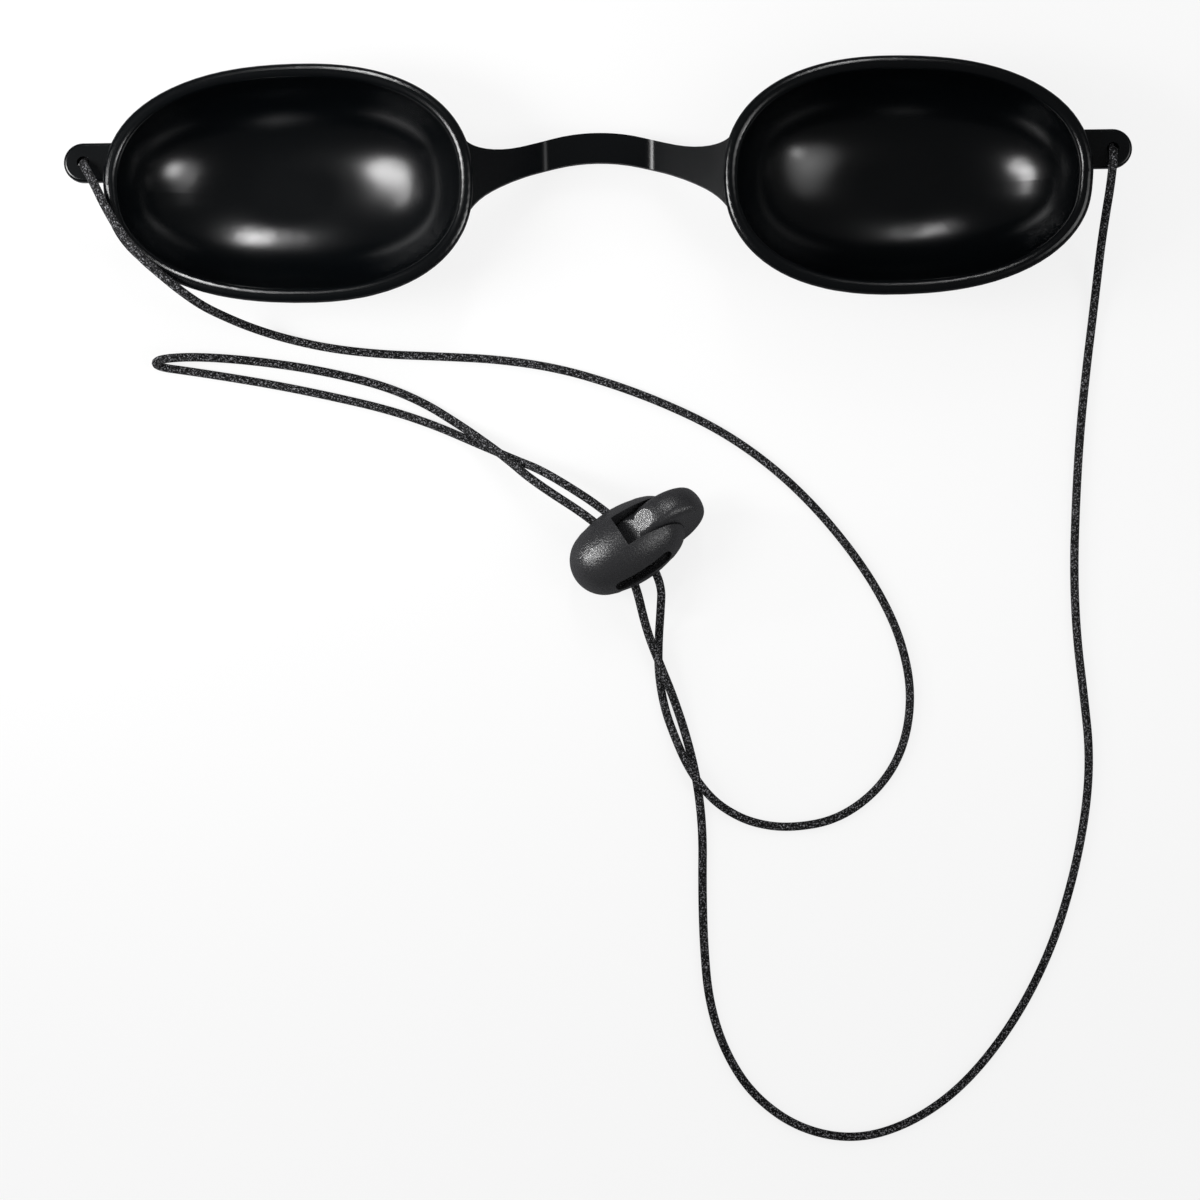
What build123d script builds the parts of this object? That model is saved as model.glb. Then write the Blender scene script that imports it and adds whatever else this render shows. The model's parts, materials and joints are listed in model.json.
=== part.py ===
from build123d import *
from math import atan2, copysign, cos, pi, radians, sin, tan
import os

# Tanning goggles: one moulding of two opaque eyecups, a nose bridge and two cord lugs,
# an elastic head cord knotted behind both lugs, and a spring cord lock that closes the loop.
# Millimetres. The goggles lie on the fronts of their cups, rims up: +X across the face,
# +Y to the brow, +Z to the wearer's face. The origin is under the middle of the goggles.

# Eyecups
cup_half_width = 25.1
cup_half_height = 16.2
cup_depth = 15.5
cup_spacing = 84.1
cup_wall = 1.6
rim_wall = 1.9
rim_round = 0.8
outline_power_share = 2.3
dome_power_share = 2.2
nose_taper_share = 0.045

# Nose bridge
bridge_half_height = 2.05
bridge_waist_half_height = 2.55
bridge_root_half_height = 5.7
bridge_thickness = 1.7
bridge_root_drop = 2.1
bridge_middle_z = 2.9
bridge_bend_radius = 2.2
bridge_flat = 7.2
bridge_arch = 5.5
bridge_arch_end = 4.5
bridge_waist_reach = 3.35
bridge_waist_y = 2.35
bridge_root_reach = 1.45
bridge_root_y = 0.6

# Cord lugs
lug_reach = 2.9
lug_y = 3.4
lug_radius = 2.66
lug_thickness = 2.0
lug_drop = 2.5
lug_hole_clearance = 0.25
lug_edge_round = 0.45

# Elastic cord and its knots
cord_diameter = 1.2
knot_wrap = 1.0
knot_height = 2.2
knot_round = 0.9
knot_gap = 0.1
knot_tail = 2.0
lug_rise = 1.8
rim_lift = 1.2

# Cord lock
lock_x = 3.3
lock_y = -49.6
lock_turn_angle = 32.2
lock_roll_angle = 26.0
shell_half_length = 8.57
shell_radius = 5.53
shell_tip_radius = 4.8
slot_half_length = 4.5
slot_clearance = 0.35
slot_flare_start = 2.4
slot_flare_angle = 55.0
mouth_start = 0.1
bore_half_width = 2.45
bore_radius = 3.9
bore_end_clearance = 0.3
stem_clearance = 0.25
stem_end = 3.3
button_travel = 2.0
button_reach = 11.9
button_half_length = 5.7
button_edge_round = 1.3
button_half_depth = 4.8
button_tip_radius = 4.2
ramp_start_u = -0.2
ramp_start_z = 2.3
ramp_end_u = 6.2
ramp_end_z = 5.18
window_start = 2.3
spring_bore_radius = 2.1
spring_bore_end = 7.3
spring_wire = 0.4
spring_clearance = 0.35
spring_turns = 3.5
spring_seat = 0.05

overrun = 1.0
outline_points = 24
section_shares = [0.14, 0.4, 0.62, 0.79, 0.9, 0.965, 1.0]
bowl_shares = [0.16, 0.42, 0.64, 0.8, 0.91, 0.97, 1.0]
run_share = 0.45

# Sizes that follow from the ones above
cup_x = cup_spacing / 2
bridge_root_z = cup_depth - bridge_root_drop
nose_edge = cup_x - cup_half_width
bowl_half_width = cup_half_width - rim_wall
bowl_half_height = cup_half_height - rim_wall
bridge_end = cup_x - bowl_half_width + rim_wall
bridge_waist_x = nose_edge - bridge_waist_reach
bridge_root_x = nose_edge + bridge_root_reach
lug_x = cup_x + cup_half_width + lug_reach
lug_top_z = cup_depth - lug_drop
lug_base_z = lug_top_z - lug_thickness
lug_hole = cord_diameter + 2 * lug_hole_clearance
over_lug = lug_top_z + lug_rise
over_rim = cup_depth + rim_lift
knot_top = lug_base_z - knot_gap
knot_diameter = cord_diameter + 2 * knot_wrap
slot_height = cord_diameter + 2 * slot_clearance
window_end = slot_half_length + button_travel - slot_clearance
stem_half_width = bore_half_width - stem_clearance
stem_radius = bore_radius - stem_clearance
bore_end = stem_end + button_travel + bore_end_clearance
spring_radius = spring_bore_radius - spring_clearance - spring_wire / 2
spring_length = spring_bore_end - stem_end - spring_wire - 2 * spring_seat
lying = cord_diameter / 2
in_lock = shell_radius

# The cord's route, chosen by hand. It rises through the left lug, crosses the rim of the left
# cup, lies on the table, runs through the lock, folds back, and ends at the right lug.
left_route = [
    (-lug_x, lug_y, knot_top),
    (-lug_x, lug_y, over_lug),
    (-68.5, 0.7, 15.1),
    (-66.8, -2.8, 16.6),
    (-64.7, -6.5, over_rim),
    (-62.1, -9.8, over_rim),
    (-59.5, -12.1, over_rim),
    (-56.8, -14.4, 16.4),
    (-54.0, -16.4, 13.6),
    (-51.3, -17.6, 8.6),
    (-48.4, -18.7, 3.4),
    (-43.9, -20.1, 0.8),
    (-37.6, -21.6, lying),
    (-30.2, -22.5, lying),
    (-22.1, -22.9, lying),
    (-14.2, -23.4, lying),
    (-6.1, -24.7, lying),
    (1.5, -27.0, lying),
    (8.9, -29.9, lying),
    (16.2, -33.5, lying),
    (22.8, -38.1, lying),
    (28.7, -43.6, lying),
    (34.1, -50.1, lying),
    (38.3, -56.5, lying),
    (41.3, -63.2, lying),
    (42.7, -70.8, lying),
    (41.4, -78.5, lying),
    (37.7, -84.2, lying),
    (31.9, -88.2, lying),
    (25.2, -89.2, lying),
    (20.2, -88.4, lying),
    (16.5, -86.5, 1.0),
    (13.9, -84.2, 2.1),
    (11.4, -80.6, 2.1),
    (9.8, -76.9, 1.0),
    (8.2, -72.4, lying),
    (7.4, -67.3, lying),
    (7.5, -62.7, 0.8),
    (7.8, -58.7, 3.2),
    (8.0, -54.9, in_lock),
    (5.4, -50.0, in_lock),
    (1.0, -45.1, in_lock),
    (-3.4, -42.2, in_lock),
]
loop_route = [
    (-3.4, -42.2, in_lock),
    (-7.8, -39.3, in_lock),
    (-12.2, -37.4, 2.3),
    (-17.3, -35.1, lying),
    (-23.3, -32.4, lying),
    (-29.6, -30.2, lying),
    (-36.8, -28.4, lying),
    (-45.0, -26.6, lying),
    (-52.2, -25.3, lying),
    (-57.6, -24.4, lying),
    (-61.7, -23.8, 0.8),
    (-61.7, -23.0, 3.6),
    (-57.9, -22.6, 3.3),
    (-53.0, -22.7, 1.5),
    (-47.0, -23.3, lying),
    (-39.5, -24.5, lying),
    (-30.9, -26.6, lying),
    (-24.8, -29.2, lying),
    (-20.0, -32.3, 1.0),
    (-16.6, -34.7, 2.4),
    (-13.2, -37.3, 3.4),
    (-9.4, -40.7, in_lock),
    (-5.0, -43.6, in_lock),
]
right_route = [
    (-5.0, -43.6, in_lock),
    (-0.6, -46.5, in_lock),
    (2.8, -50.8, in_lock),
    (4.6, -55.9, in_lock),
    (5.4, -59.6, 4.2),
    (6.4, -63.0, 2.3),
    (7.9, -66.8, 2.1),
    (9.5, -70.9, 1.3),
    (11.2, -76.2, lying),
    (12.6, -82.3, lying),
    (13.3, -89.4, lying),
    (13.1, -97.3, lying),
    (13.2, -105.3, lying),
    (13.8, -113.2, lying),
    (16.0, -120.4, lying),
    (19.9, -126.5, lying),
    (26.2, -131.1, lying),
    (34.0, -132.7, lying),
    (41.7, -130.5, lying),
    (49.1, -125.4, lying),
    (56.0, -117.0, lying),
    (61.2, -107.4, lying),
    (64.5, -97.6, lying),
    (66.6, -87.9, lying),
    (67.3, -79.6, lying),
    (66.6, -71.6, lying),
    (65.7, -63.4, lying),
    (65.4, -54.4, lying),
    (65.8, -44.8, lying),
    (66.5, -35.0, lying),
    (67.5, -26.2, lying),
    (68.4, -19.6, lying),
    (69.0, -14.1, 1.7),
    (69.2, -9.4, 5.2),
    (69.3, -5.3, 10.2),
    (69.5, -1.6, 14.5),
    (lug_x, lug_y, over_lug),
    (lug_x, lug_y, knot_top),
]


def power_point(turn, half_x, half_y, power):
    """A place on a rounded box outline; turn goes from 0 to 2 pi."""
    x = copysign(abs(cos(turn)) ** (2 / power), cos(turn)) * half_x
    y = copysign(abs(sin(turn)) ** (2 / power), sin(turn)) * half_y
    return x, y


def cup_outline(half_x, half_y):
    """Closed outline of the right-hand cup, a little taller on the nose side."""
    points = []
    for step in range(outline_points):
        x, y = power_point(2 * pi * step / outline_points, half_x, half_y, outline_power_share)
        points.append((x, y * (1 - nose_taper_share * x / cup_half_width)))
    return points


def dome_sections(depth, floor_z, shares):
    """Height and outline share of each section of a dome, from its small flat front to its rim."""
    sections = []
    for share in shares:
        rise_share = (share - shares[0]) / (1 - shares[0])
        height = depth * (1 - (1 - rise_share ** dome_power_share) ** (1 / dome_power_share))
        sections.append((floor_z + height, share))
    return sections


with BuildPart() as bridge_half:
    with BuildSketch(Plane.XZ):
        with BuildLine():
            top = FilletPolyline(
                (0, bridge_middle_z + bridge_thickness / 2),
                (bridge_flat, bridge_middle_z + bridge_thickness / 2),
                (bridge_end, bridge_root_z + bridge_thickness / 2),
                radius=bridge_bend_radius,
            )
            bottom = FilletPolyline(
                (0, bridge_middle_z - bridge_thickness / 2),
                (bridge_flat, bridge_middle_z - bridge_thickness / 2),
                (bridge_end, bridge_root_z - bridge_thickness / 2),
                radius=bridge_bend_radius + bridge_thickness,
            )
            Line(top @ 0, bottom @ 0)
            Line(top @ 1, bottom @ 1)
        make_face()
    extrude(amount=cup_half_height, both=True)
    with BuildSketch(Plane.XY):
        with BuildLine():
            brow_edge = Spline(
                (0, bridge_arch + bridge_half_height),
                (bridge_flat, bridge_arch_end + bridge_half_height),
                (bridge_waist_x, bridge_waist_y + bridge_waist_half_height),
                (bridge_root_x, bridge_root_y + bridge_root_half_height),
                tangents=[(1, 0), (1, 1.5)],
            )
            cheek_edge = Spline(
                (0, bridge_arch - bridge_half_height),
                (bridge_flat, bridge_arch_end - bridge_half_height),
                (bridge_waist_x, bridge_waist_y - bridge_waist_half_height),
                (bridge_root_x, bridge_root_y - bridge_root_half_height),
                tangents=[(1, 0), (1, -2.4)],
            )
            Line(brow_edge @ 0, cheek_edge @ 0)
            Polyline(
                brow_edge @ 1,
                (bridge_end, bridge_root_y + bridge_root_half_height),
                (bridge_end, bridge_root_y - bridge_root_half_height),
                cheek_edge @ 1,
            )
        make_face()
    extrude(amount=cup_depth, mode=Mode.INTERSECT)

with BuildPart() as lug_half:
    with BuildSketch(Plane((lug_x, lug_y, lug_base_z))):
        Circle(lug_radius)
        Rectangle(lug_x - cup_x - bowl_half_width, 2 * lug_radius, align=(Align.MAX, Align.CENTER))
    extrude(amount=lug_thickness)
    fillet(lug_half.edges().filter_by(Plane.XY), radius=lug_edge_round)

with BuildPart() as goggle_frame:
    for section_z, share in dome_sections(cup_depth, 0, section_shares):
        with BuildSketch(Plane((cup_x, 0, section_z))):
            with BuildLine():
                Spline(*cup_outline(cup_half_width * share, cup_half_height * share), periodic=True)
            make_face()
    loft()
    add(lug_half.part)
    add(bridge_half.part)
    for section_z, share in dome_sections(cup_depth - cup_wall, cup_wall, bowl_shares):
        with BuildSketch(Plane((cup_x, 0, section_z))):
            with BuildLine():
                Spline(*cup_outline(bowl_half_width * share, bowl_half_height * share), periodic=True)
            make_face()
    loft(mode=Mode.SUBTRACT)
    fillet(goggle_frame.edges().group_by(Axis.Z)[-1], radius=rim_round)
    with Locations((lug_x, lug_y, lug_top_z)):
        Hole(lug_hole / 2, depth=lug_thickness + overrun)
    mirror(about=Plane.YZ)
goggle_frame.part.label = "goggle_frame"

# The lock's three pieces are made about the origin with the button's travel along X and the thumb
# notch up Z, then turned and rolled into place. Its slot and the cord stay level on the table.
lock_turn = radians(lock_turn_angle)
lock_roll = radians(lock_roll_angle)
travel_dir = Vector(cos(lock_turn), sin(lock_turn), 0)
across_dir = Vector(-sin(lock_turn), cos(lock_turn), 0)
notch_dir = across_dir * sin(lock_roll) + Vector(0, 0, cos(lock_roll))
lock_place = Plane((lock_x, lock_y, shell_radius), x_dir=travel_dir, z_dir=notch_dir).location
slot_dir = Vector(0, cos(lock_roll), sin(lock_roll))
up_dir = Vector(0, -sin(lock_roll), cos(lock_roll))
slot_plane = Plane((0, 0, 0), x_dir=(1, 0, 0), z_dir=slot_dir)


def cross_plane(along):
    """Plane square to the button's travel; its X runs across the flat sides of the button."""
    return Plane((along, 0, 0), x_dir=(0, 1, 0), z_dir=(1, 0, 0))


def in_place(piece, name):
    """A piece of the lock, moved from its own axes to where the lock lies."""
    moved = piece.moved(lock_place)
    moved.label = name
    return moved


def egg_profile(middle, half_length, radius, tip_radius):
    """Half outline of an egg along the travel: a belly arc tangent to the arcs of both tips."""
    tip_x = half_length - tip_radius
    belly_radius = (tip_x ** 2 + radius ** 2 - tip_radius ** 2) / (2 * (radius - tip_radius))
    lean = atan2(belly_radius - radius, tip_x)
    join_x = tip_x + tip_radius * cos(lean)
    join_y = tip_radius * sin(lean)
    tip_mid_x = tip_x + tip_radius * cos(lean / 2)
    tip_mid_y = tip_radius * sin(lean / 2)
    ThreePointArc((middle - half_length, 0), (middle - tip_mid_x, tip_mid_y), (middle - join_x, join_y))
    ThreePointArc((middle - join_x, join_y), (middle, radius), (middle + join_x, join_y))
    ThreePointArc((middle + join_x, join_y), (middle + tip_mid_x, tip_mid_y), (middle + half_length, 0))
    Line((middle + half_length, 0), (middle - half_length, 0))


with BuildPart() as lock_shell:
    with BuildSketch(Plane.XZ):
        with BuildLine():
            egg_profile(0, shell_half_length, shell_radius, shell_tip_radius)
        make_face()
    revolve(axis=Axis.X)
    with BuildSketch(cross_plane(-bore_end)):
        Circle(bore_radius)
        Rectangle(2 * bore_half_width, 2 * bore_radius, mode=Mode.INTERSECT)
    extrude(amount=bore_end + mouth_start, mode=Mode.SUBTRACT)
    with BuildSketch(cross_plane(mouth_start)):
        Rectangle(2 * bore_half_width, 2 * (shell_radius + overrun))
    extrude(amount=shell_half_length, mode=Mode.SUBTRACT)
    with BuildSketch(cross_plane(-spring_bore_end)):
        Circle(spring_bore_radius)
    extrude(amount=spring_bore_end - bore_end + overrun, mode=Mode.SUBTRACT)
    with BuildSketch(slot_plane):
        SlotOverall(2 * slot_half_length, slot_height)
    extrude(amount=shell_radius + overrun, both=True, mode=Mode.SUBTRACT)
    for side in (1, -1):
        mouth_plane = Plane(
            slot_dir * (side * slot_flare_start),
            x_dir=(1, 0, 0),
            z_dir=(slot_dir - up_dir * tan(radians(slot_flare_angle))) * side,
        )
        with BuildSketch(mouth_plane):
            SlotOverall(2 * slot_half_length, slot_height)
        extrude(amount=shell_radius, mode=Mode.SUBTRACT)

with BuildPart() as lock_button:
    with BuildSketch(Plane.XZ):
        with BuildLine():
            egg_profile(
                button_reach - button_half_length,
                button_half_length,
                button_half_depth,
                button_tip_radius,
            )
        make_face()
    revolve(axis=Axis.X)
    with BuildSketch(cross_plane(button_reach)):
        Rectangle(2 * stem_half_width, 2 * button_half_depth + overrun)
    extrude(amount=-2 * button_half_length - overrun, mode=Mode.INTERSECT)
    fillet(lock_button.faces().filter_by(GeomType.PLANE).edges(), radius=button_edge_round)
    with BuildSketch(cross_plane(-stem_end)):
        Circle(stem_radius)
        Rectangle(2 * stem_half_width, 2 * stem_radius, mode=Mode.INTERSECT)
    extrude(amount=stem_end + button_reach - button_half_length)
    with BuildSketch(Plane.XZ):
        with BuildLine():
            Polyline(
                (ramp_start_u, ramp_start_z),
                (ramp_end_u, ramp_end_z),
                (ramp_end_u, button_half_depth + overrun),
                (ramp_start_u, button_half_depth + overrun),
                close=True,
            )
        make_face()
        mirror(about=Plane.XZ)
    extrude(amount=stem_half_width + overrun, both=True, mode=Mode.SUBTRACT)
    with BuildSketch(slot_plane):
        with Locations(((window_end - window_start) / 2, 0)):
            SlotOverall(window_start + window_end, slot_height)
    extrude(amount=shell_radius, both=True, mode=Mode.SUBTRACT)

with BuildPart() as lock_spring:
    with BuildLine():
        coil = Helix(
            pitch=spring_length / spring_turns,
            height=spring_length,
            radius=spring_radius,
            center=(spring_seat + spring_wire / 2 - spring_bore_end, 0, 0),
            direction=(1, 0, 0),
        )
    with BuildSketch(Plane(coil @ 0, z_dir=coil % 0)):
        Circle(spring_wire / 2)
    sweep(is_frenet=True)


def bend_radii(route):
    """The largest arc that each corner's two runs leave room for."""
    radii = []
    for before, corner, after in zip(route, route[1:], route[2:]):
        come = Vector(*corner) - Vector(*before)
        go = Vector(*after) - Vector(*corner)
        turn = radians(come.get_angle(go))
        radii.append(run_share * min(come.length, go.length) / tan(turn / 2))
    return radii


def cord_run(route, name):
    """One stretch of the cord: straight runs joined by tangent arcs."""
    radii = bend_radii(route)
    with BuildPart() as run:
        with BuildLine() as path:
            FilletPolyline(*route, radius=radii)
        with BuildSketch(Plane(path.line @ 0, z_dir=path.line % 0)):
            Circle(cord_diameter / 2)
        sweep()
    run.part.label = name
    length = sum(edge.length for edge in path.edges())
    section = pi * cord_diameter ** 2 / 4
    print(name, "length", round(length, 1), "volume share", round(run.part.volume / section / length, 4))
    print(name, "bend radii", [round(radius, 1) for radius in radii])
    return run.part


def knot(side, name):
    """The overhand knot drawn up behind a lug, with its short cut tail."""
    with BuildPart(Plane((side * lug_x, lug_y, knot_top))) as body:
        Cylinder(knot_diameter / 2, knot_height, align=(Align.CENTER, Align.CENTER, Align.MAX))
        fillet(body.edges().filter_by(GeomType.CIRCLE), radius=knot_round)
        Cylinder(
            cord_diameter / 2,
            knot_height + knot_tail,
            align=(Align.CENTER, Align.CENTER, Align.MAX),
        )
    body.part.label = name
    return body.part


os.makedirs("parts", exist_ok=True)
for piece in (
    goggle_frame.part,
    knot(-1, "knot_left"),
    knot(1, "knot_right"),
    cord_run(left_route, "cord_left"),
    cord_run(loop_route, "cord_loop"),
    cord_run(right_route, "cord_right"),
    in_place(lock_shell.part, "lock_shell"),
    in_place(lock_button.part, "lock_button"),
    in_place(lock_spring.part, "lock_spring"),
):
    export_step(piece, "parts/" + piece.label + ".step")
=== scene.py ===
import json
import math

import bmesh
import bpy
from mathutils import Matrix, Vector


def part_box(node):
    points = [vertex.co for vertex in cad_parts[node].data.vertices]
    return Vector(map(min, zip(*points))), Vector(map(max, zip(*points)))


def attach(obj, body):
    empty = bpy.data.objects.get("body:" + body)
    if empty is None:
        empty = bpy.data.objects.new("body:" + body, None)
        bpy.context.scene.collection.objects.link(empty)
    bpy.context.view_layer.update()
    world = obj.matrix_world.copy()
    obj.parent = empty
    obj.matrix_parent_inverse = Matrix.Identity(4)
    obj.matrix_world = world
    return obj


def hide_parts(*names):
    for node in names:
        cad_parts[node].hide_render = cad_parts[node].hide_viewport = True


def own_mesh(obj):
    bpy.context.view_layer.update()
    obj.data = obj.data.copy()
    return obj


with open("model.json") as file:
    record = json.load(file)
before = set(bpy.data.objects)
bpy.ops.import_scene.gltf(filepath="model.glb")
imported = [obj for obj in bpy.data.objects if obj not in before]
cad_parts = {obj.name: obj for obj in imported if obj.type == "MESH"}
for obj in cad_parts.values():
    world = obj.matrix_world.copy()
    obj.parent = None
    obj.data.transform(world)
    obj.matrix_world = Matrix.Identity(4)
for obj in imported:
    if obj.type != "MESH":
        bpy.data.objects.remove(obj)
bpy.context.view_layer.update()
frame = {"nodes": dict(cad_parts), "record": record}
scene = bpy.context.scene
scene.view_settings.view_transform = "Standard"
nodes = frame["nodes"]


# A new object in the scene for a mesh, curve, lamp or camera
def addObject(name, data):
    added = bpy.data.objects.new(name, data)
    scene.collection.objects.link(added)
    return added


# Camera, straight above the goggles and turned a little. Lengths are in metres, but for the sensor's 36 mm.
camera = {
    "place": (-0.00057, -0.05707, 0.55),
    "turn": -0.8,  # degrees
    "seenWidth": 0.16716,  # width of the picture at the height of the floor
    "sensor": 36,
}

cameraData = bpy.data.cameras.new("camera")
cameraData.sensor_width = camera["sensor"]
cameraData.lens = camera["sensor"] * camera["place"][2] / camera["seenWidth"]
cameraObject = addObject("camera", cameraData)
cameraObject.location = camera["place"]
cameraObject.rotation_euler = (0, 0, math.radians(camera["turn"]))
scene.camera = cameraObject


# A hex colour as the linear red, green, blue and alpha that shaders take
def linear(code):
    parts = [int(code[i:i + 2], 16) / 255 for i in (1, 3, 5)]
    return [p / 12.92 if p <= 0.04045 else ((p + 0.055) / 1.055) ** 2.4 for p in parts] + [1]


# Adds a node. Settings are its properties, or its inputs by name or number, and links feed its inputs
# from other nodes.
def addNode(tree, kind, settings=None, links=None):
    node = tree.nodes.new(kind)
    for name, value in (settings or {}).items():
        if isinstance(name, int) or name in node.inputs:
            node.inputs[name].default_value = value
        else:
            setattr(node, name, value)
    for name, source in (links or {}).items():
        tree.links.new(source, node.inputs[name])
    return node


# A new node material, with its tree and its Principled shader
def newMaterial(name):
    material = bpy.data.materials.new(name)
    material.use_nodes = True
    return material, material.node_tree, material.node_tree.nodes["Principled BSDF"]


# Gives a piece one material in place of any that it has
def dress(piece, material):
    piece.data.materials.clear()
    piece.data.materials.append(material)


# Merges the doubled points of a mesh and shades it smooth. A tube of cord also has its faces turned
# outwards.
def mergeAndSmooth(mesh, turnOutwards=False):
    doubledWithin = 1e-6  # metres
    work = bmesh.new()
    work.from_mesh(mesh)
    bmesh.ops.remove_doubles(work, verts=work.verts, dist=doubledWithin)
    if turnOutwards:
        bmesh.ops.recalc_face_normals(work, faces=work.faces)
    for face in work.faces:
        face.smooth = True
    work.to_mesh(mesh)
    work.free()


# Elastic cord, from the left lug through the lock and back to the right lug
cord = {
    "diameter": 0.0012,
    "step": 0.0004,  # between the rings of points along the cord
    "roundness": 3,  # Blender's bevel resolution
    "bendSteps": 16,  # steps of a curve between two points of its route
}
cordRoute = [
    (-0.07005, 0.0034, 0.0109),
    (-0.07005, 0.0034, 0.0148),
    (-0.0685, 0.0007, 0.0151),
    (-0.0668, -0.0028, 0.0166),
    (-0.0647, -0.0065, 0.0167),
    (-0.0621, -0.0098, 0.0167),
    (-0.0595, -0.0121, 0.0167),
    (-0.0568, -0.0144, 0.0164),
    (-0.0540, -0.0164, 0.0136),
    (-0.0513, -0.0176, 0.0086),
    (-0.0484, -0.0187, 0.0034),
    (-0.0439, -0.0201, 0.0008),
    (-0.0376, -0.0216, 0.0006),
    (-0.0302, -0.0225, 0.0006),
    (-0.0221, -0.0229, 0.0006),
    (-0.0142, -0.0234, 0.0006),
    (-0.0061, -0.0247, 0.0006),
    (0.0015, -0.0270, 0.0006),
    (0.0089, -0.0299, 0.0006),
    (0.0162, -0.0335, 0.0006),
    (0.0228, -0.0381, 0.0006),
    (0.0287, -0.0436, 0.0006),
    (0.0341, -0.0501, 0.0006),
    (0.0383, -0.0565, 0.0006),
    (0.0413, -0.0632, 0.0006),
    (0.0427, -0.0708, 0.0006),
    (0.0414, -0.0785, 0.0006),
    (0.0377, -0.0842, 0.0006),
    (0.0319, -0.0882, 0.0006),
    (0.0252, -0.0892, 0.0006),
    (0.0202, -0.0884, 0.0006),
    (0.0165, -0.0865, 0.0010),
    (0.0139, -0.0842, 0.0021),
    (0.0114, -0.0806, 0.0021),
    (0.0098, -0.0769, 0.0010),
    (0.0082, -0.0724, 0.0006),
    (0.0074, -0.0673, 0.0006),
    (0.0075, -0.0627, 0.0008),
    (0.0078, -0.0587, 0.0032),
    (0.0080, -0.0549, 0.00553),
    (0.0054, -0.0500, 0.00553),
    (0.0010, -0.0451, 0.00553),
    (-0.0078, -0.0393, 0.00553),
    (-0.0122, -0.0374, 0.0023),
    (-0.0173, -0.0351, 0.0006),
    (-0.0233, -0.0324, 0.0006),
    (-0.0296, -0.0302, 0.0006),
    (-0.0368, -0.0284, 0.0006),
    (-0.0450, -0.0266, 0.0006),
    (-0.0522, -0.0253, 0.0006),
    (-0.0576, -0.0244, 0.0006),
    (-0.0617, -0.0238, 0.0008),
    (-0.0617, -0.0230, 0.0036),
    (-0.0579, -0.0226, 0.0033),
    (-0.0530, -0.0227, 0.0015),
    (-0.0470, -0.0233, 0.0006),
    (-0.0395, -0.0245, 0.0006),
    (-0.0309, -0.0266, 0.0006),
    (-0.0248, -0.0292, 0.0006),
    (-0.0200, -0.0323, 0.0010),
    (-0.0166, -0.0347, 0.0024),
    (-0.0132, -0.0373, 0.0034),
    (-0.0094, -0.0407, 0.00553),
    (-0.0006, -0.0465, 0.00553),
    (0.0028, -0.0508, 0.00553),
    (0.0046, -0.0559, 0.00553),
    (0.0054, -0.0596, 0.0042),
    (0.0064, -0.0630, 0.0023),
    (0.0079, -0.0668, 0.0021),
    (0.0095, -0.0709, 0.0013),
    (0.0112, -0.0762, 0.0006),
    (0.0126, -0.0823, 0.0006),
    (0.0133, -0.0894, 0.0006),
    (0.0131, -0.0973, 0.0006),
    (0.0132, -0.1053, 0.0006),
    (0.0138, -0.1132, 0.0006),
    (0.0160, -0.1204, 0.0006),
    (0.0199, -0.1265, 0.0006),
    (0.0262, -0.1311, 0.0006),
    (0.0340, -0.1327, 0.0006),
    (0.0417, -0.1305, 0.0006),
    (0.0491, -0.1254, 0.0006),
    (0.0560, -0.1170, 0.0006),
    (0.0612, -0.1074, 0.0006),
    (0.0645, -0.0976, 0.0006),
    (0.0666, -0.0879, 0.0006),
    (0.0673, -0.0796, 0.0006),
    (0.0666, -0.0716, 0.0006),
    (0.0657, -0.0634, 0.0006),
    (0.0654, -0.0544, 0.0006),
    (0.0658, -0.0448, 0.0006),
    (0.0665, -0.0350, 0.0006),
    (0.0675, -0.0262, 0.0006),
    (0.0684, -0.0196, 0.0006),
    (0.0690, -0.0141, 0.0017),
    (0.0692, -0.0094, 0.0052),
    (0.0693, -0.0053, 0.0102),
    (0.0695, -0.0016, 0.0145),
    (0.07005, 0.0034, 0.0148),
    (0.07005, 0.0034, 0.0109),
]


# The mesh of a curve with one spline. The curve itself isn't kept.
def curveMesh(kind, points, order=2, thickness=0, roundness=0):
    curve = bpy.data.curves.new("route", "CURVE")
    curve.dimensions = "3D"
    curve.resolution_u = cord["bendSteps"]
    curve.bevel_depth = thickness / 2
    curve.bevel_resolution = roundness
    curve.use_fill_caps = True
    spline = curve.splines.new(kind)
    spline.points.add(len(points) - 1)
    for point, place in zip(spline.points, points):
        point.co = (*place, 1)
    spline.order_u = order
    spline.use_endpoint_u = True
    holder = addObject("route", curve)
    evaluated = holder.evaluated_get(bpy.context.evaluated_depsgraph_get())
    mesh = bpy.data.meshes.new_from_object(evaluated)
    bpy.data.objects.remove(holder)
    bpy.data.curves.remove(curve)
    return mesh


# The smooth line that follows a route, as points an even step apart
def smoothLine(route, step):
    mesh = curveMesh("NURBS", route, order=3)
    line = [vertex.co.copy() for vertex in mesh.vertices]
    bpy.data.meshes.remove(mesh)
    runs = [(b - a).length for a, b in zip(line, line[1:])]
    count = round(sum(runs) / step)
    spacing = sum(runs) / count
    even = [line[0]]
    travelled = 0
    for a, b, run in zip(line, line[1:], runs):
        while len(even) < count and len(even) * spacing <= travelled + run:
            even.append(a.lerp(b, (len(even) * spacing - travelled) / run))
        travelled += run
    return even + [line[-1]]


def lineLength(line):
    return sum((b - a).length for a, b in zip(line, line[1:]))


# A round tube of cord along a line. Its UV map runs from 0 to 1 along the cord and once round it.
def cordTube(name, line):
    mesh = curveMesh("POLY", line, thickness=cord["diameter"], roundness=cord["roundness"])
    mergeAndSmooth(mesh, turnOutwards=True)
    mesh.uv_layers[0].name = "alongCord"
    return addObject(name, mesh)


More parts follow.
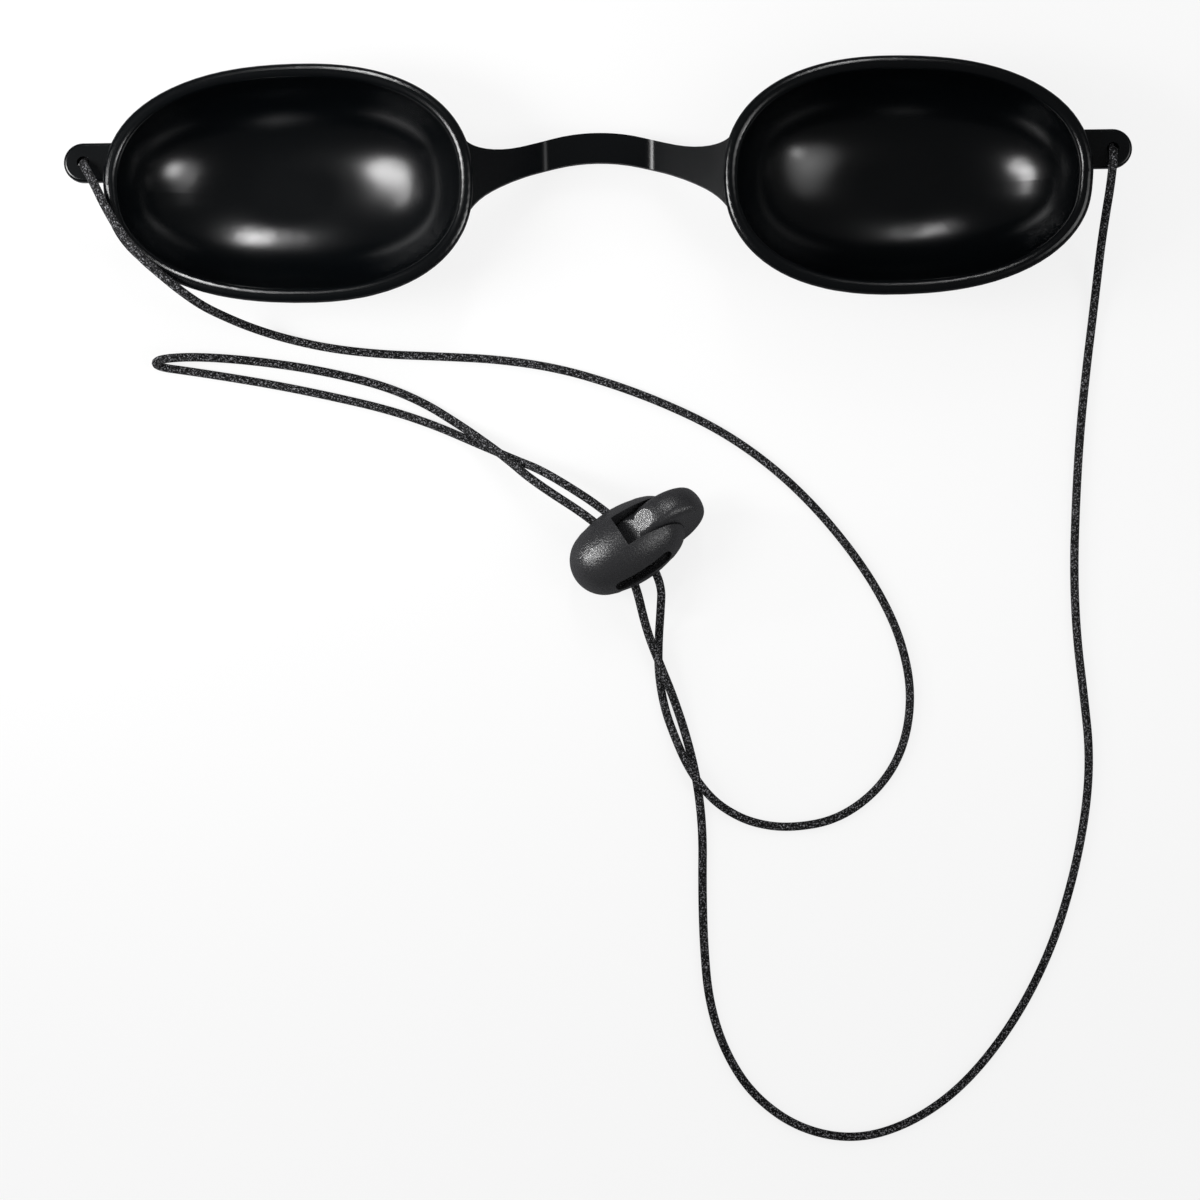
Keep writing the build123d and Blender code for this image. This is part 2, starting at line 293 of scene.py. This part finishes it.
# Braided elastic: black yarns cross over a rubber core, so the eye gets a soft dark rope with a fine
# zigzag of crests, and pale flecks scattered at random: painted sheen on the yarns, and the odd pale broken
# fibre.
def cordMaterial(name, length):
    braid = {
        "yarnsRound": 8,
        "pitch": 0.0013,  # along the cord, from one crest of a yarn to the next
        "depth": 0.0003,
        "relief": 0.8,
        "dark": "#08080a",
        # the colour of the flecks, a painted sheen on the yarns
        "paintedSheenFleck": "#949498",
        "fibre": 0.00022,  # real fibres are about a tenth of this, too fine to show
        "fibreDetail": 3.0,
        "paintedSheenFrom": 0.53,  # noise at which the painted sheen flecks begin, and at which they are palest
        "paintedSheenTo": 0.72,
        "roughness": 0.6,
        "specular": 0.35,
    }
    material, tree, shader = newMaterial(name)
    place = addNode(tree, "ShaderNodeUVMap", {"uv_map": "alongCord"})
    parts = addNode(tree, "ShaderNodeSeparateXYZ", links={"Vector": place.outputs["UV"]})
    turns = addNode(tree, "ShaderNodeMath", {"operation": "MULTIPLY", 1: braid["yarnsRound"]},
                    {0: parts.outputs["Y"]})
    along = addNode(tree, "ShaderNodeMath", {"operation": "MULTIPLY", 1: length / braid["pitch"]},
                    {0: parts.outputs["X"]})
    # Yarns wind both ways, each with its crest in its middle, and a checker says which one lies on top
    windings = [addNode(tree, "ShaderNodeMath", {"operation": way},
                        {0: turns.outputs[0], 1: along.outputs[0]}) for way in ("ADD", "SUBTRACT")]
    halfYarn = 0.5
    crests = [addNode(tree, "ShaderNodeMath", {"operation": "PINGPONG", 1: halfYarn},
                      {0: winding.outputs[0]}) for winding in windings]
    crossing = addNode(tree, "ShaderNodeCombineXYZ",
                       links={"X": windings[0].outputs[0], "Y": windings[1].outputs[0]})
    onTop = addNode(tree, "ShaderNodeTexChecker",
                    {"Scale": 1.0, "Color1": (1, 1, 1, 1), "Color2": (0, 0, 0, 1)},
                    {"Vector": crossing.outputs["Vector"]})
    height = addNode(tree, "ShaderNodeMix",
                     links={"Factor": onTop.outputs["Color"], "A": crests[0].outputs[0],
                            "B": crests[1].outputs[0]})
    bump = addNode(tree, "ShaderNodeBump", {"Strength": braid["relief"], "Distance": braid["depth"]},
                   {"Height": height.outputs[0]})
    body = addNode(tree, "ShaderNodeTexCoord")
    fibres = addNode(tree, "ShaderNodeTexNoise",
                     {"Scale": 1 / braid["fibre"], "Detail": braid["fibreDetail"]},
                     {"Vector": body.outputs["Object"]})
    # Pale flecks over the dark yarn: painted sheen, and the odd pale fibre
    paintedSheenFleck = addNode(tree, "ShaderNodeValToRGB", links={"Fac": fibres.outputs["Fac"]})
    darkEnd, paleEnd = paintedSheenFleck.color_ramp.elements
    darkEnd.position = braid["paintedSheenFrom"]
    darkEnd.color = linear(braid["dark"])
    paleEnd.position = braid["paintedSheenTo"]
    paleEnd.color = linear(braid["paintedSheenFleck"])
    tree.links.new(paintedSheenFleck.outputs["Color"], shader.inputs["Base Color"])
    tree.links.new(bump.outputs["Normal"], shader.inputs["Normal"])
    shader.inputs["Roughness"].default_value = braid["roughness"]
    shader.inputs["Specular IOR Level"].default_value = braid["specular"]
    return material


cordLine = smoothLine(cordRoute, cord["step"])
cordLength = lineLength(cordLine)
headCord = cordTube("head_cord", cordLine)
dress(headCord, cordMaterial("braided black elastic", cordLength))
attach(headCord, "goggles")
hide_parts("cord_left", "cord_loop", "cord_right")
print("cord", round(cordLength, 4))

# Overhand knots behind the lugs: the cord goes twice round itself and leaves as a short cut tail
knot = {
    "spread": 0.00078,  # from the middle of the knot to the middle of the ring that the cord winds on
    "swell": 0.0005,  # how far the cord weaves in and out, and up and down, about that ring
    "turns": 2,  # round the ring
    "waves": 3,  # through it, which with two turns is an overhand knot
    "bends": 26,  # steps of the winding in the route
    "windFrom": 0.06,  # share of the turns after which the winding begins
    "windShare": 0.88,  # share of the turns that it takes up
    "tailRise": 0.0012,  # from the cut end to where the tail leaves the knot
    "tailLean": 0.0002,
    "step": 0.0002,
}


# The points that a knot's cord follows, from the lug down. Side is -1 for the left lug and 1 for the right.
def knotRoute(side):
    lugX, lugY, top = cordRoute[0]
    axis = Vector((side * abs(lugX), lugY, 0))
    middle = top - cord["diameter"] / 2 - knot["swell"]
    route = [axis + Vector((0, 0, top))]
    for i in range(knot["bends"] + 1):
        turn = 2 * math.pi * knot["turns"] * (knot["windFrom"] + knot["windShare"] * i / knot["bends"])
        wave = turn * knot["waves"] / knot["turns"]
        reach = knot["spread"] + knot["swell"] * math.cos(wave)
        route.append(axis + Vector((reach * math.cos(turn) * side, reach * math.sin(turn),
                                    middle + knot["swell"] * math.sin(wave))))
    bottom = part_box("knot_right")[0][2]
    route.append(axis + Vector((0, 0, bottom + knot["tailRise"])))
    route.append(axis + Vector((knot["tailLean"] * side, -knot["tailLean"], bottom)))
    return route


knots = []
for side, end in ((-1, "left"), (1, "right")):
    name = "knot_" + end
    line = smoothLine(knotRoute(side), knot["step"])
    knots.append(cordTube("overhand_" + name, line))
    dress(knots[-1], cordMaterial("knotted black elastic " + end, lineLength(line)))
    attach(knots[-1], "goggles")
    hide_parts(name)


# Injection-moulded polystyrene straight from a polished mould: deep black and glossy, with the faint
# unevenness that makes a reflection's edge soft.
def glossMaterial():
    gloss = {
        "colour": "#030507",
        "flow": 0.011,  # width of the patches that the melt leaves a little duller
        "flowDetail": 2.0,
        "sharpest": 0.18,
        "softest": 0.25,
        "ior": 1.59,
    }
    material, tree, shader = newMaterial("gloss black polystyrene")
    place = addNode(tree, "ShaderNodeTexCoord")
    flow = addNode(tree, "ShaderNodeTexNoise", {"Scale": 1 / gloss["flow"], "Detail": gloss["flowDetail"]},
                   {"Vector": place.outputs["Object"]})
    rough = addNode(tree, "ShaderNodeMapRange", {"To Min": gloss["sharpest"], "To Max": gloss["softest"]},
                    {"Value": flow.outputs["Fac"]})
    tree.links.new(rough.outputs["Result"], shader.inputs["Roughness"])
    shader.inputs["Base Color"].default_value = linear(gloss["colour"])
    shader.inputs["IOR"].default_value = gloss["ior"]
    return material


# Acetal from a spark-eroded mould: matte black with a fine grain that breaks each highlight into specks
def lockMaterial():
    grained = {
        "colour": "#29292b",
        "grain": 0.00025,
        "grainDetail": 3.0,
        "depth": 0.0002,
        "relief": 0.3,
        "pit": 0.35,  # noise in the pits of the grain and on its peaks
        "peak": 0.65,
        "sharpest": 0.2,
        "softest": 0.42,
        "ior": 1.48,
        "specular": 0.9,
    }
    material, tree, shader = newMaterial("grained black acetal")
    place = addNode(tree, "ShaderNodeTexCoord")
    grain = addNode(tree, "ShaderNodeTexNoise",
                    {"Scale": 1 / grained["grain"], "Detail": grained["grainDetail"]},
                    {"Vector": place.outputs["Object"]})
    bump = addNode(tree, "ShaderNodeBump", {"Strength": grained["relief"], "Distance": grained["depth"]},
                   {"Height": grain.outputs["Fac"]})
    rough = addNode(tree, "ShaderNodeMapRange",
                    {"From Min": grained["pit"], "From Max": grained["peak"],
                     "To Min": grained["sharpest"], "To Max": grained["softest"]},
                    {"Value": grain.outputs["Fac"]})
    tree.links.new(bump.outputs["Normal"], shader.inputs["Normal"])
    tree.links.new(rough.outputs["Result"], shader.inputs["Roughness"])
    shader.inputs["Base Color"].default_value = linear(grained["colour"])
    shader.inputs["IOR"].default_value = grained["ior"]
    shader.inputs["Specular IOR Level"].default_value = grained["specular"]
    return material


# Cold-drawn spring steel wire: bright grey metal whose shine varies finely along the wire
def steelMaterial():
    drawn = {
        "colour": "#b9bbbd",
        "patch": 0.00025,  # real die lines are finer and wouldn't show
        "sharpest": 0.22,
        "softest": 0.4,
    }
    material, tree, shader = newMaterial("drawn spring steel")
    place = addNode(tree, "ShaderNodeTexCoord")
    wire = addNode(tree, "ShaderNodeTexNoise", {"Scale": 1 / drawn["patch"]},
                   {"Vector": place.outputs["Object"]})
    rough = addNode(tree, "ShaderNodeMapRange", {"To Min": drawn["sharpest"], "To Max": drawn["softest"]},
                    {"Value": wire.outputs["Fac"]})
    tree.links.new(rough.outputs["Result"], shader.inputs["Roughness"])
    shader.inputs["Base Color"].default_value = linear(drawn["colour"])
    shader.inputs["Metallic"].default_value = 1
    return material


dress(nodes["goggle_frame"], glossMaterial())
lockPlastic = lockMaterial()
dress(nodes["lock_shell"], lockPlastic)
dress(nodes["lock_button"], lockPlastic)
print("dressed")

# Coil spring, which the plunger squeezes against the end of its bore
coilMesh = nodes["lock_spring"].data.copy()
mergeAndSmooth(coilMesh)
coilSpring = addObject("coil_spring", coilMesh)
dress(coilSpring, steelMaterial())

joints = frame["record"]["behaviour"]["joints"]
press = next(joint for joint in joints if joint["name"] == "button_slide")
pressWay = Vector(press["axis"])
reaches = [vertex.co.dot(pressWay) for vertex in coilMesh.vertices]
seatMiddle = sum((vertex.co for vertex in coilMesh.vertices), Vector()) / len(coilMesh.vertices)
seatMiddle += pressWay * (max(reaches) - seatMiddle.dot(pressWay))
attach(coilSpring, "lock")
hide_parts("lock_spring")
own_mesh(coilSpring)
print("spring", round(max(reaches) - min(reaches), 4))


# Studio: two softboxes on each side of the goggles, one beyond the brow and a small one for the lock,
# over a pale floor in a plain white world. Power is in watts and spread in degrees.
softboxes = {
    "softboxLeft": {"place": (-0.188, -0.026, 0.17), "aim": (-0.07, -0.005, 0),
                    "size": (0.09, 0.135), "power": 0.052, "spread": 60},
    "softboxLeftFar": {"place": (-0.21, 0.016, 0.172), "aim": (0.1, 0, 0),
                       "size": (0.11, 0.095), "power": 0.016, "spread": 44},
    "softboxRight": {"place": (0.105, -0.046, 0.11), "aim": (-0.0421, 0, 0.012),
                     "size": (0.055, 0.11), "power": 0.0026, "spread": 22},
    "softboxRightHigh": {"place": (0.278, -0.05, 0.258), "aim": (0.06, 0, 0),
                         "size": (0.27, 0.27), "power": 0.028, "spread": 44},
    "softboxBrow": {"place": (0.005, 0.4, 0.42), "aim": (-0.09, 0, 0),
                    "size": (0.08, 0.46), "power": 0.09, "spread": 34},
    "softboxLock": {"place": (-0.27, 0.017, 0.112), "aim": (0.005, -0.0465, 0.009),
                    "size": (0.04, 0.04), "power": 0.0015, "spread": 12},
}
studio = {
    "floorColour": "#e8e8e8",
    "floorHalf": 1.5,
    "floorRoughness": 0.9,
    "floorSeenWhite": 0.8,  # share of plain white in what the camera sees of the floor
    "floorInGloss": "#6a6a6c",
    "world": 0.6,
    "worldInGloss": 0.05,
    "worldSeen": 1.0,  # white to the camera
}

for name, box in softboxes.items():
    lamp = bpy.data.lights.new(name, "AREA")
    lamp.shape = "ELLIPSE"
    lamp.size, lamp.size_y = box["size"]
    lamp.energy = box["power"]
    lamp.spread = math.radians(box["spread"])
    holder = addObject(name, lamp)
    holder.location = box["place"]
    way = Vector(box["aim"]) - Vector(box["place"])
    holder.rotation_euler = way.to_track_quat("-Z", "Y").to_euler()

floorMesh = bpy.data.meshes.new("floor")
work = bmesh.new()
bmesh.ops.create_grid(work, x_segments=1, y_segments=1, size=studio["floorHalf"])
work.to_mesh(floorMesh)
work.free()
floor = addObject("floor", floorMesh)


# Pale card that the camera sees mostly as white, and that gloss sees as a darker grey
def floorMaterial():
    material, tree, shader = newMaterial("pale floor")
    shader.inputs["Roughness"].default_value = studio["floorRoughness"]
    ray = addNode(tree, "ShaderNodeLightPath")
    # Sockets 6 and 7 are the two colours of a colour mix, and its output 2 is the mixed one
    colour = addNode(tree, "ShaderNodeMix",
                     {"data_type": "RGBA", 6: linear(studio["floorColour"]),
                      7: linear(studio["floorInGloss"])},
                     {"Factor": ray.outputs["Is Glossy Ray"]})
    tree.links.new(colour.outputs[2], shader.inputs["Base Color"])
    white = addNode(tree, "ShaderNodeEmission")
    seen = addNode(tree, "ShaderNodeMath", {"operation": "MULTIPLY", 1: studio["floorSeenWhite"]},
                   {0: ray.outputs["Is Camera Ray"]})
    blend = addNode(tree, "ShaderNodeMixShader",
                    links={0: seen.outputs[0], 1: shader.outputs["BSDF"], 2: white.outputs["Emission"]})
    tree.links.new(blend.outputs["Shader"], tree.nodes["Material Output"].inputs["Surface"])
    return material


dress(floor, floorMaterial())

# White world, dim in gloss so that the bowls stay dark, and plain white behind the floor's edge
world = bpy.data.worlds.new("world")
world.use_nodes = True
scene.world = world
sky = world.node_tree.nodes["Background"]
sky.inputs["Color"].default_value = (1, 1, 1, 1)
ray = addNode(world.node_tree, "ShaderNodeLightPath")
strength = addNode(world.node_tree, "ShaderNodeMapRange",
                   {"To Min": studio["world"], "To Max": studio["worldInGloss"]},
                   {"Value": ray.outputs["Is Glossy Ray"]})
seenStrength = addNode(world.node_tree, "ShaderNodeMix", {"B": studio["worldSeen"]},
                       {"Factor": ray.outputs["Is Camera Ray"], "A": strength.outputs["Result"]})
world.node_tree.links.new(seenStrength.outputs[0], sky.inputs["Strength"])
print("studio")
